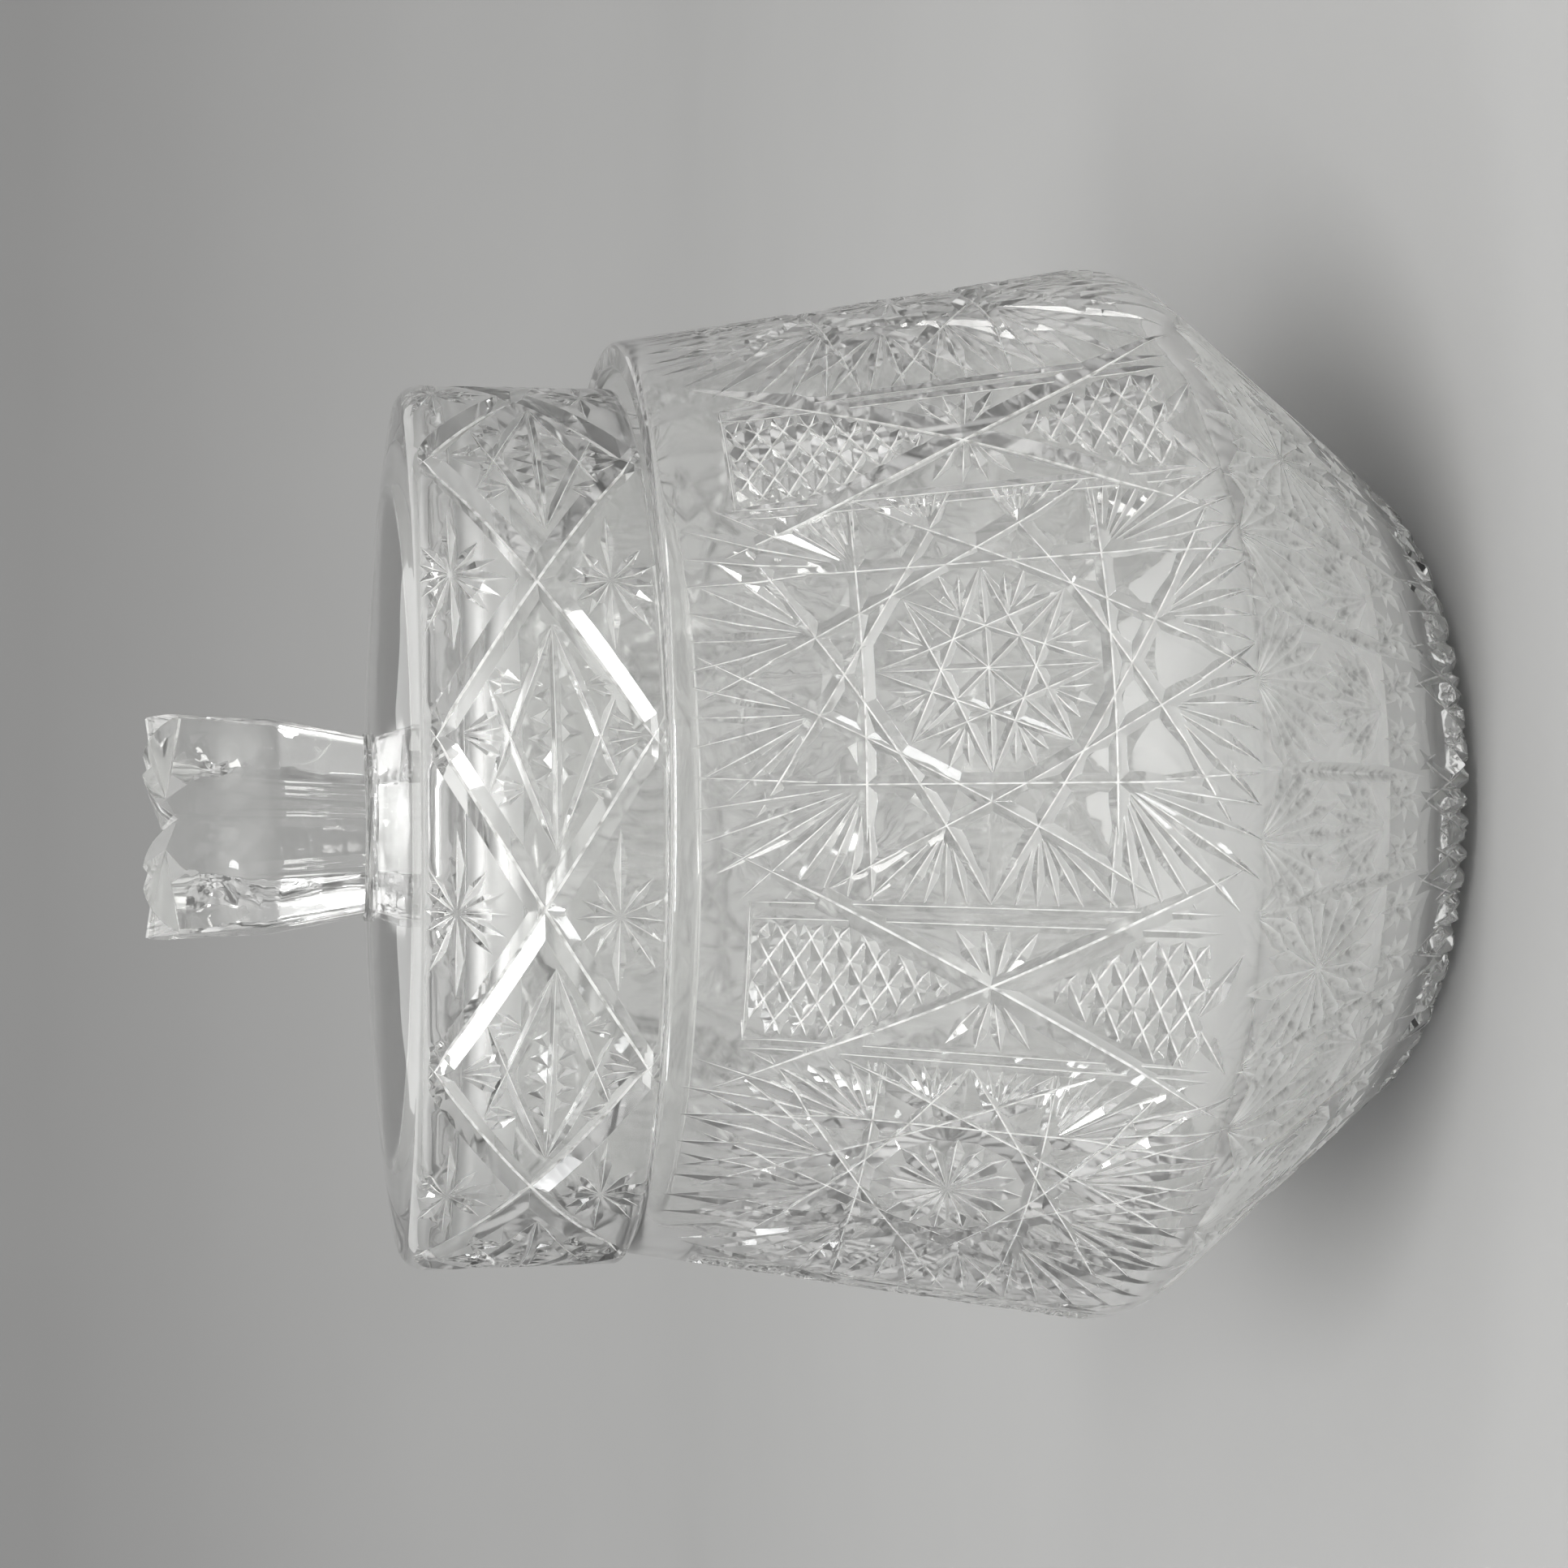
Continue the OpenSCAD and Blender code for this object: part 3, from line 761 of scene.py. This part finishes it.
mouth_r = jar_rim_r - jar_wall
inner_round = jar_belly_round - jar_wall
floor_c_z = jar_floor + jar_floor_round
floor_reach = inner_round - jar_floor_round - math.sin(cone_angle) * (floor_c_z - jar_belly_z)
floor_c_r = belly_c[0] + floor_reach / math.cos(cone_angle)
floor_c = (floor_c_r, floor_c_z)
inner_side_angle = touch_angle((mouth_r, jar_rim_z), belly_c, inner_round)
jar_in = Outline(0)                            # from the floor's middle up the inside to the rim
jar_in.line((0, jar_floor), (floor_c_r, jar_floor))
jar_in.arc(floor_c, jar_floor_round, math.radians(-90), cone_angle)
jar_in.line(point_on(floor_c, jar_floor_round, cone_angle), point_on(belly_c, inner_round, cone_angle))
jar_in.arc(belly_c, inner_round, cone_angle, inner_side_angle)
rim_in_c = (mouth_r + jar_rim_edge, jar_rim_z - jar_rim_edge)
jar_in.line(point_on(belly_c, inner_round, inner_side_angle), (mouth_r, jar_rim_z - jar_rim_edge))
jar_in.arc(rim_in_c, jar_rim_edge, math.radians(180), math.radians(90))
jar_in.line((mouth_r + jar_rim_edge, jar_rim_z), (jar_rim_r - jar_rim_edge, jar_rim_z))
jar_angles = [(jar_x0 + (jar_x1 - jar_x0) * k / jar_columns) / JAR_CHART_R for k in range(jar_columns + 1)]
inner_rows = [tuple(v[:2]) for v in jar_in.at(np.array(jar_in.rows(straight=4.0, curved=1.8)))]

foot_r = jar_base_r - jar_foot_ring


def foot_star():
    """The recess under the base, with a plain star of radial V cuts."""
    radii = [foot_r, foot_r - 0.4, foot_r - 1.2, 33.0, 28.0, 22.0, 15.0, 8.0, 2.5, 0.0]
    cut = [0, 0, 0, 0.0, 0.75, 1.1, 1.0, 0.55, 0.15, 0.0]
    rise = [0, jar_foot_hollow * 0.6] + [jar_foot_hollow] * 8
    pts = []
    for r, deep, up in zip(radii, cut, rise):
        for k, a in enumerate(jar_angles):
            ray = 1 - abs((k % 8) - 4) / 4     # one ray to every eight columns of points
            pts.append((r * math.sin(a) * MM, -r * math.cos(a) * MM, (up + deep * ray) * MM))
    faces, _ = strip_faces(pts, len(radii), len(jar_angles))
    return np.array(pts), faces, np.zeros(len(pts)), np.zeros(len(pts)), np.full(len(faces), DULL)


def dust_group():
    """Shared by both pieces: a faint haze that stays in the pressed cuts, and slow ripples in the glass."""
    group = bpy.data.node_groups.new("dust_in_cuts", "ShaderNodeTree")
    for name in ("Full depth", "Grain size", "Ripple size"):
        group.interface.new_socket(name, in_out="INPUT", socket_type="NodeSocketFloat")
    for name in ("Dust", "Ripple", "Skin"):
        group.interface.new_socket(name, in_out="OUTPUT", socket_type="NodeSocketFloat")
    given = made(group, "NodeGroupInput").outputs
    result = made(group, "NodeGroupOutput").inputs
    where = made(group, "ShaderNodeTexCoord").outputs["Object"]
    cut = made(group, "ShaderNodeAttribute", attribute_name="cut_depth")
    share = made(group, "ShaderNodeMath", operation="DIVIDE", use_clamp=True)
    speck = made(group, "ShaderNodeTexNoise", {"Detail": 3})
    some = made(group, "ShaderNodeMapRange", {"From Min": 0.45, "From Max": 0.7})
    both = made(group, "ShaderNodeMath", operation="MULTIPLY")
    slow = made(group, "ShaderNodeTexNoise", {"Detail": 1.5})
    inner = made(group, "ShaderNodeAttribute", attribute_name="inner_skin")
    wired(group,
          (cut.outputs["Fac"], share.inputs[0]),
          (given["Full depth"], share.inputs[1]),
          (where, speck.inputs["Vector"]),
          (given["Grain size"], speck.inputs["Scale"]),
          (speck.outputs["Fac"], some.inputs["Value"]),
          (share.outputs[0], both.inputs[0]),
          (some.outputs["Result"], both.inputs[1]),
          (where, slow.inputs["Vector"]),
          (given["Ripple size"], slow.inputs["Scale"]),
          (both.outputs[0], result["Dust"]),
          (slow.outputs["Fac"], result["Ripple"]),
          (inner.outputs["Fac"], result["Skin"]))
    return group


dust_in_cuts = dust_group()


def material_tree(name):
    """A new material, its node tree and the shader in it."""
    material = bpy.data.materials.new(name)
    material.use_nodes = True
    tree = material.node_tree
    return material, tree, next(n for n in tree.nodes if n.type == "BSDF_PRINCIPLED")


def pressed_glass(name, tint, haze, full_depth, roughness=0.02, haze_roughness=0.16, skin_roughness=0.06,
                  ripple_height=0.0006, through=0.95):
    """Pressed glass: plain transmission, a hair of grey-green, haze in the cuts, soft ripples and edges."""
    material, tree, bsdf = material_tree(name)
    filled(bsdf, {"Transmission Weight": through, "Metallic": 0.0, "IOR": 1.52})
    dust = made(tree, "ShaderNodeGroup", node_tree=dust_in_cuts)
    filled(dust, {"Full depth": full_depth, "Grain size": 700, "Ripple size": 45})
    colour = made(tree, "ShaderNodeMix", {"A": tint, "B": haze}, data_type="RGBA")
    rough = made(tree, "ShaderNodeMapRange", {"To Min": roughness, "To Max": haze_roughness})
    dull = made(tree, "ShaderNodeMath", {1: skin_roughness}, operation="MULTIPLY_ADD")
    softened = {"Radius": 0.00012}            # fire polishing has softened every edge
    soft = made(tree, "ShaderNodeBevel", softened, samples=6)
    bump = made(tree, "ShaderNodeBump", {"Strength": 0.35, "Distance": ripple_height})
    wired(tree,
          (dust.outputs["Dust"], colour.inputs["Factor"]),
          (colour.outputs["Result"], bsdf.inputs["Base Color"]),
          (dust.outputs["Dust"], rough.inputs["Value"]),
          (dust.outputs["Skin"], dull.inputs[0]),
          (rough.outputs["Result"], dull.inputs[2]),
          (dull.outputs[0], bsdf.inputs["Roughness"]),
          (soft.outputs["Normal"], bump.inputs["Normal"]),
          (dust.outputs["Ripple"], bump.inputs["Height"]),
          (bump.outputs["Normal"], bsdf.inputs["Normal"]))
    return material


jar_tint = (0.988, 0.990, 0.983, 1)
haze_tint = (0.93, 0.935, 0.925, 1)
jar_material = pressed_glass("jar_pressed_glass", jar_tint, haze_tint, full_depth=1.2)
matt_bottoms = pressed_glass("matt_bottoms_of_the_cuts", (0.95, 0.955, 0.94, 1), (0.35, 0.35, 0.34, 1),
                             full_depth=0.9, roughness=0.3, haze_roughness=0.45, skin_roughness=0.0,
                             ripple_height=0.0, through=0.5)
jar_dull_inside = pressed_glass("jar_dull_inside", jar_tint, haze_tint, full_depth=1.2, skin_roughness=0.30,
                                through=0.4)

dull_floor_z = 22                             # the jar is dull inside from the floor up to here
jar_outside = turned_field(jar_field, jar_out, JAR_CHART_R)
jar_inside = turned_strip(inner_rows[::-1], jar_angles, skin_below=jar_rim_z - 2, dull=(0, dull_floor_z))
jar_wedge = joined_mesh("jar_wedge", [jar_outside, jar_inside, foot_star()])
jar_mesh = repeat_round(jar_wedge, 360 // JAR_TURN, jar_material, "jar_glass")
polished(jar_mesh)
finished(jar_mesh, matt_bottoms, jar_dull_inside)
jar_piece = placed("jar_glass", jar_mesh)
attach(jar_piece, "jar")
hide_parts("jar")


# ---------------------------------------------------------------------------------------------
# THE LID
# A hollow drum of the same pressed glass whose solid six-sided knob is part of it. It rests loose
# on the rim, pushed a few millimetres to one side, and a short flange under it stays in the mouth.
# ---------------------------------------------------------------------------------------------

lid_r, lid_z, lid_side, lid_edge, lid_seat_edge = 72.0, 132.0, 35.0, 4.0, 0.8
lid_dome, lid_top_t, lid_corner = 4.0, 7.0, 8.0
flange_r, flange_in, flange_h, flange_edge = 64.8, 61.2, 6.0, 0.8
seat_r = flange_r + 2.5                       # the flat seat ends here, where the flange begins
lid_shift = 4.8                               # towards -X
LID_TURN = 40                                 # degrees after which the lid's pattern repeats
LID_START = -29.0                             # where one repeat begins, in degrees from the front
LID_CROSSING = -9.2                           # where the zigzag crosses itself
lid_top_z = lid_z + lid_side
dome_z = lid_top_z + lid_dome
LID_MM_PER_DEGREE = math.radians(1) * lid_r


def oblong_star(c, rays, width, depth):
    """A star of leaves, each with its own direction and length."""
    gap, long, wider = 0.5, 9.0, 1.15         # the long rays are a little wider too
    return [leaf(point_on(c, gap, math.radians(a)), a, length=n - gap,
                 width=width * wider if n > long else width, depth=depth, widest=0.55) for a, n in rays]


def lid_cuts(x, y):
    """One repeat of the lid: a crossing of two bold mitres, a star above and below it, a jewelled lozenge."""
    half = LID_TURN / 2 * LID_MM_PER_DEGREE
    cuts = []
    for side in (-1, 1):
        cuts.append(mitre((x - half * 1.05, y - side * 16.4), (x + half * 1.05, y + side * 16.4),
                          width=4.3, depth=1.45, taper=4))
    upper = ((0, 12), (35, 7.3), (67, 7.4), (93, 8.6), (117, 8), (140, 8), (180, 12.5), (205, 10), (238, 5.6),
             (270, 5), (302, 5.6), (324, 7.6))
    lower = ((0, 12.6), (40, 7.5), (68, 6.7), (97, 6.4), (122, 7.2), (146, 9.5), (180, 11.5), (211, 6.9),
             (236, 6.3), (268, 6.4), (294, 6.1), (324, 6.6))
    cuts += oblong_star((x, y - 12.6), upper, width=1.8, depth=0.75)
    cuts += oblong_star((x - 0.8, y + 10.6), lower, width=1.8, depth=0.75)
    m = x + half                              # the lozenge between two crossings
    w = y + 1.6
    cuts.append(mitre((m - 16.2, w), (m + 17.0, w), width=1.3, depth=0.5, taper=5))
    for up in (-1, 1):
        for side in (-1, 1):
            cuts.append(mitre((m - side * 16.5, w + up * 0.1), (m + side * 8.2, w + up * 9.6), width=1.7,
                              depth=0.7, taper=5))
        cuts += fan((m + 0.2, w + up * 13.8), -up * 90, (-29, -10, 9, 28), length=7.6, width=1.7, depth=0.75,
                    limits=(m - 12, m + 12, y - 19, y + 19), widest=0.6)
        for side in (-1, 1):
            cuts += fan((m + side * 7.4, w + up * 4.0), up * 90 - side * 8 * up, (-24, 0, 24), length=5.4,
                        width=1.5, depth=0.6,
                        limits=(m - 14, m + 14, y - 19, y + 19), widest=0.6)
        for k in range(-2, 3):                # a row of small hobnails, left between three-sided dents
            c = m + 3.05 * k + up * 0.4
            tall = 4.0 - abs(k) * 0.45
            cuts.append(pyramid([(c, w + up * tall), (c + 1.45, w + up * 0.75), (c - 1.45, w + up * 0.75)],
                                (c, w + up * (0.75 + tall) * 0.44), depth=0.6))
    return cuts


lid_out = Outline(0)
lid_out.arc((lid_r - lid_edge, lid_top_z - lid_edge), lid_edge, math.radians(90), 0)
lid_out.line((lid_r, lid_top_z - lid_edge), (lid_r, lid_z + lid_seat_edge))
lid_out.arc((lid_r - lid_seat_edge, lid_z + lid_seat_edge), lid_seat_edge, 0, math.radians(-90))
lid_out.line((lid_r - lid_seat_edge, lid_z), (seat_r, lid_z))

lid_x0 = LID_START * LID_MM_PER_DEGREE
lid_x1 = (LID_START + LID_TURN) * LID_MM_PER_DEGREE
lid_columns = 20
lid_mid = lid_edge * math.pi / 2 + lid_side / 2 - lid_edge
lid_pattern = repeated(lid_cuts(LID_CROSSING * LID_MM_PER_DEGREE, lid_mid), lid_x0, lid_x1)
lid_field = pressed_field(lid_pattern, lid_x0, lid_x1, lid_out, lid_columns, straight=2.6, curved=1.3,
                          fine=1.7)

lid_angles = [math.radians(LID_START + LID_TURN * k / lid_columns) for k in range(lid_columns + 1)]
knob_foot, knob_waist, knob_top = 14.2, 17.1, 18.2
knob_h, knob_waist_h, knob_fillet, knob_flare = 36.0, 16.5, 3.9, 1.6
pad_r, pad_h = 15.4, 1.2

lid_in = Outline(0)                           # under the lid: seat, flange and hollow
lid_in.line((seat_r, lid_z), (flange_r, lid_z))
flange_z = lid_z - flange_h                   # the flange's lower edge, rounded on both sides
lid_in.line((flange_r, lid_z), (flange_r, flange_z + flange_edge))
lid_in.arc((flange_r - flange_edge, flange_z + flange_edge), flange_edge, 0, math.radians(-90))
lid_in.line((flange_r - flange_edge, flange_z), (flange_in + flange_edge, flange_z))
lid_in.arc((flange_in + flange_edge, flange_z + flange_edge), flange_edge, math.radians(-90),
           math.radians(-180))
under_z = lid_top_z - lid_top_t               # the lid's ceiling
lid_in.line((flange_in, flange_z + flange_edge), (flange_in, under_z - lid_corner))
lid_in.arc((flange_in - lid_corner, under_z - lid_corner), lid_corner, 0, math.radians(90))
lid_in.line((flange_in - lid_corner, under_z), (0, under_z))
under_rows = [tuple(v[:2]) for v in lid_in.at(np.array(lid_in.rows(straight=4.5, curved=1.6)))]

top_rows = []                                 # the domed top, from the knob's pad out to the edge
for t in (k / 14 for k in range(15)):
    top_rows.append((pad_r + (lid_r - lid_edge - pad_r) * t, lid_top_z + lid_dome * (1 - t * t)))

dull_corner = (lid_top_z - 16, lid_top_z - 7.3)    # heights between which the inner corner is dull
lid_side_wall = turned_field(lid_field, lid_out, lid_r)
lid_under = turned_strip(under_rows, lid_angles, lid_top_z, dull_corner)
lid_wedge = joined_mesh("lid_wedge", [turned_strip(top_rows, lid_angles), lid_side_wall, lid_under])
lid_tint = (0.978, 0.982, 0.973, 1)
lid_haze_tint = (0.92, 0.93, 0.915, 1)
lid_material = pressed_glass("lid_pressed_glass", lid_tint, lid_haze_tint, full_depth=1.4)
lid_dull_inside = pressed_glass("lid_dull_inside", lid_tint, lid_haze_tint, full_depth=1.4,
                                skin_roughness=0.30, through=0.85)
lid_mesh = repeat_round(lid_wedge, 360 // LID_TURN, lid_material, "lid_glass")

# The knob, pressed in one with the lid: six flats that lean outwards up to a waist and stand nearly
# upright above it, a round thumbprint high up in each, and a crown of six nicked arches that falls
# away to its middle.
knob_columns, side_rows, crown_rows = 180, 56, 14
knob_corner = 5.0                             # degrees from the front to one upright edge, towards +X
thumb_r, thumb_depth, thumb_drop = 5.3, 1.3, 11.4
hollow_r, hollow_depth = 9.6, 0.7             # the wide shallow hollow around each thumbprint
arch_r, nick_depth, nick_slope = 12.0, 1.5, 0.85
crown_middle = 2.6                            # how far the crown's middle lies below its highest points
knob_z0, knob_z1 = dome_z + pad_h, dome_z + knob_h


def knob_flat(z):
    """Distance from the knob's axis to its flats at the height z."""
    up = z - dome_z
    if up < knob_waist_h:
        return knob_foot + (knob_waist - knob_foot) * up / knob_waist_h
    share = (up - knob_waist_h) / (knob_h - knob_waist_h)
    return knob_waist + (knob_top - knob_waist) * share ** knob_flare


def knob_radius(w, z):
    """Distance from the knob's axis to its side, w radians off the middle of a flat, at the height z."""
    flat = knob_flat(z)
    w = abs(w)
    r = flat / math.cos(w)
    if flat * math.tan(w) > (flat - knob_fillet) * math.tan(math.pi / 6):
        off = math.pi / 6 - w                 # the upright edge is rounded
        d = (flat - knob_fillet) / math.cos(math.pi / 6)
        r = d * math.cos(off) + math.sqrt(knob_fillet ** 2 - (d * math.sin(off)) ** 2)
    zc = knob_z1 - thumb_drop
    for size, deep in ((thumb_r, thumb_depth), (hollow_r, hollow_depth)):
        ball = (size ** 2 + deep ** 2) / (2 * deep)
        cx = knob_flat(zc) + ball - deep
        b, c = cx * math.cos(w), cx * cx + (z - zc) ** 2 - ball * ball
        if b * b > c:
            r = min(r, b - math.sqrt(b * b - c))
    return r


knob_points, knob_faces = [], []
knob_rows = [("pad", pad_r, 0.0), ("pad", pad_r, pad_h * 0.7), ("pad", pad_r - 0.5, pad_h)]
knob_rows += [("side", k / side_rows, 0) for k in range(side_rows + 1)]
knob_rows += [("crown", 1 - k / crown_rows, 0) for k in range(1, crown_rows + 1)]
for kind, u, v in knob_rows:
    for j in range(knob_columns):
        a = math.radians(LID_START + 360 / knob_columns * j)
        w = (a - math.radians(knob_corner)) % (math.pi / 3) - math.pi / 6
        across = knob_radius(w, knob_z1 - 1) * math.sin(w)
        drop = arch_r - math.sqrt(arch_r ** 2 - across ** 2) + max(0, nick_depth - nick_slope * abs(across))
        rim_z = knob_z1 - drop
        if kind == "pad":
            r, z = u, dome_z + v
        elif kind == "side":
            z = knob_z0 + (rim_z - knob_z0) * u
            r = knob_radius(w, z)
        else:
            r = knob_radius(w, rim_z) * u
            z = rim_z + (knob_z1 - crown_middle - rim_z) * (1 - u)
        knob_points.append((r * math.sin(a), -r * math.cos(a), z))
for k in range(len(knob_rows) - 1):
    for j in range(knob_columns):
        i = (j + 1) % knob_columns
        knob_faces.append((k * knob_columns + j, k * knob_columns + i, (k + 1) * knob_columns + i,
                           (k + 1) * knob_columns + j))

weld = bmesh.new()                            # the knob and the drum are one piece of glass
weld.from_mesh(lid_mesh)
corners = [weld.verts.new(Vector(p) * MM) for p in knob_points]
for face in knob_faces:
    weld.faces.new([corners[v] for v in face])
bmesh.ops.remove_doubles(weld, verts=weld.verts, dist=0.01 * MM)
bmesh.ops.dissolve_degenerate(weld, edges=weld.edges, dist=0.001 * MM)
for v in weld.verts:
    v.co.x -= lid_shift * MM
weld.to_mesh(lid_mesh)
weld.free()
polished(lid_mesh)
finished(lid_mesh, matt_bottoms, lid_dull_inside)
lid_piece = placed("lid_glass", lid_mesh)
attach(lid_piece, "lid")
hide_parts("lid")


# ---------------------------------------------------------------------------------------------
# THE TABLE AND BACKDROP
# One sheet of matt grey board that lies flat under the jar and curves up far behind it.
# ---------------------------------------------------------------------------------------------

board_bend = 0.6                              # radius of the curve where the board turns up, in metres
board_flat = 0.75                             # how far behind the jar it stays flat
board_rows = [(-1.6, 0.0), (-0.8, 0.0), (-0.2, 0.0), (0.4, 0.0), (board_flat, 0.0)]
for turn in range(10, 91, 10):
    board_rows.append((board_flat + board_bend * math.sin(math.radians(turn)),
                       board_bend - board_bend * math.cos(math.radians(turn))))
board_rows += [(1.35, 1.2), (1.35, 2.2)]
board = bmesh.new()
board_points = [[board.verts.new((x, y, z)) for x in (-2.4, -1.2, 0, 1.2, 2.4)] for y, z in board_rows]
for low, high in zip(board_points[:-1], board_points[1:]):
    for k in range(len(low) - 1):
        board.faces.new((low[k], low[k + 1], high[k + 1], high[k]))
board_mesh = bpy.data.meshes.new("board")
board.to_mesh(board_mesh)
board.free()
board_mesh.polygons.foreach_set("use_smooth", [True] * len(board_mesh.polygons))

board_material, board_tree, board_shader = material_tree("matt_grey_board")
filled(board_shader, {"Roughness": 0.75})
where = made(board_tree, "ShaderNodeTexCoord").outputs["Object"]
mottle = made(board_tree, "ShaderNodeTexNoise", {"Scale": 9, "Detail": 4})
greys = {"A": (0.266, 0.266, 0.264, 1), "B": (0.284, 0.284, 0.282, 1)}
shade = made(board_tree, "ShaderNodeMix", greys, data_type="RGBA")
height = made(board_tree, "ShaderNodeSeparateXYZ")
# painted shade: the share of the dark grey mixed into the board's colour rises with height, up to 0.42 at 0.3
# m
rise = made(board_tree, "ShaderNodeMapRange", {"From Max": 0.30, "To Max": 0.42})
painted_shade_high_up = {"B": (0.056, 0.056, 0.056, 1)}        # painted shade: the board's colour darkens where it stands up, for the light that falls off towards the top of the backdrop
fade = made(board_tree, "ShaderNodeMix", painted_shade_high_up, data_type="RGBA")
wired(board_tree,
      (where, mottle.inputs["Vector"]),
      (mottle.outputs["Fac"], shade.inputs["Factor"]),
      (where, height.inputs["Vector"]),
      (height.outputs["Z"], rise.inputs["Value"]),
      (rise.outputs["Result"], fade.inputs["Factor"]),
      (shade.outputs["Result"], fade.inputs["A"]),
      (fade.outputs["Result"], board_shader.inputs["Base Color"]))
board_mesh.materials.append(board_material)
board_piece = placed("board", board_mesh)


# ---------------------------------------------------------------------------------------------
# LIGHT
# Soft daylight that comes mostly from above and a little from the front, with a long panel
# overhead, a pale card behind the jar and a weak window at each side.
# ---------------------------------------------------------------------------------------------

world = bpy.data.worlds.new("soft_room")
world.use_nodes = True
room = world.node_tree
sky = filled(next(n for n in room.nodes if n.type == "BACKGROUND"), {"Strength": 0.82})
air = made(room, "ShaderNodeTexCoord")
brightest = (0, -0.34, 0.94)                  # a little way from overhead towards the front
way = made(room, "ShaderNodeVectorMath", {1: brightest}, operation="DOT_PRODUCT")
ramp = made(room, "ShaderNodeValToRGB")
for place, grey in ((0.0, 0.36), (0.35, 0.55), (0.65, 1.45)):
    stop = ramp.color_ramp.elements.new(place) if place else ramp.color_ramp.elements[0]
    stop.position = place
    stop.color = (grey, grey * 0.998, grey * 0.99, 1)
ramp.color_ramp.elements[-1].color = (1.8, 1.796, 1.782, 1)
wired(room,
      (air.outputs["Generated"], way.inputs[0]),
      (way.outputs["Value"], ramp.inputs["Fac"]),
      (ramp.outputs["Color"], sky.inputs["Color"]))
bpy.context.scene.world = world


def panel(name, place, aim, wide, tall, power, colour):
    """A flat soft light that hangs at its place and faces its aim."""
    light = bpy.data.lights.new(name, "AREA")
    light.shape = "RECTANGLE"
    light.size = wide
    light.size_y = tall
    light.energy = power
    light.color = colour
    facing = (Vector(aim) - Vector(place)).to_track_quat("-Z", "Y")
    placed(name, light).matrix_world = Matrix.Translation(place) @ facing.to_matrix().to_4x4()


panel("overhead", place=(-0.1, -0.95, 1.25), aim=(0, 0, 0.1), wide=1.0, tall=0.26, power=22,
      colour=(1, 0.995, 0.985))
panel("back_card", place=(0, 1.0, 0.65), aim=(0, 0, 0.15), wide=1.6, tall=0.42, power=1.3,
      colour=(1, 1, 0.99))
panel("left_window", place=(-1.3, -0.5, 0.9), aim=(0, 0, 0.1), wide=0.3, tall=0.6, power=6,
      colour=(0.98, 0.99, 1))
panel("right_window", place=(1.2, -0.6, 0.9), aim=(0, 0, 0.1), wide=0.25, tall=0.5, power=4,
      colour=(1, 0.99, 0.97))


# ---------------------------------------------------------------------------------------------
# THE CAMERA
# Looking slightly down from the front, and turned on its side: the jar lies across the picture.
# ---------------------------------------------------------------------------------------------

camera_y, camera_z = -0.48835, 0.19365        # metres
down, turn, roll = 0.186, 0.004, -0.005       # radians
focal_px, picture_px = 3637.7, 1932           # focal length and width of the picture, in its pixels
film = 36                                     # width of the film, mm
forward = Vector((math.cos(down) * math.sin(turn), math.cos(down) * math.cos(turn), -math.sin(down)))
right = Vector((math.cos(turn), -math.sin(turn), 0))
up = right.cross(forward)
picture_up = right * math.cos(roll) + up * math.sin(roll)
picture_right = right * math.sin(roll) - up * math.cos(roll)
camera = placed("camera", bpy.data.cameras.new("camera"))
camera.data.sensor_width = film
camera.data.lens = focal_px / picture_px * film
camera.data.clip_start = 0.01
aimed = Matrix((picture_right, picture_up, -forward)).transposed().to_4x4()
camera.matrix_world = Matrix.Translation((0, camera_y, camera_z)) @ aimed
bpy.context.scene.camera = camera
bpy.context.scene.view_settings.view_transform = "Standard"
bpy.context.scene.cycles.max_bounces = 48
bpy.context.scene.cycles.transmission_bounces = 48
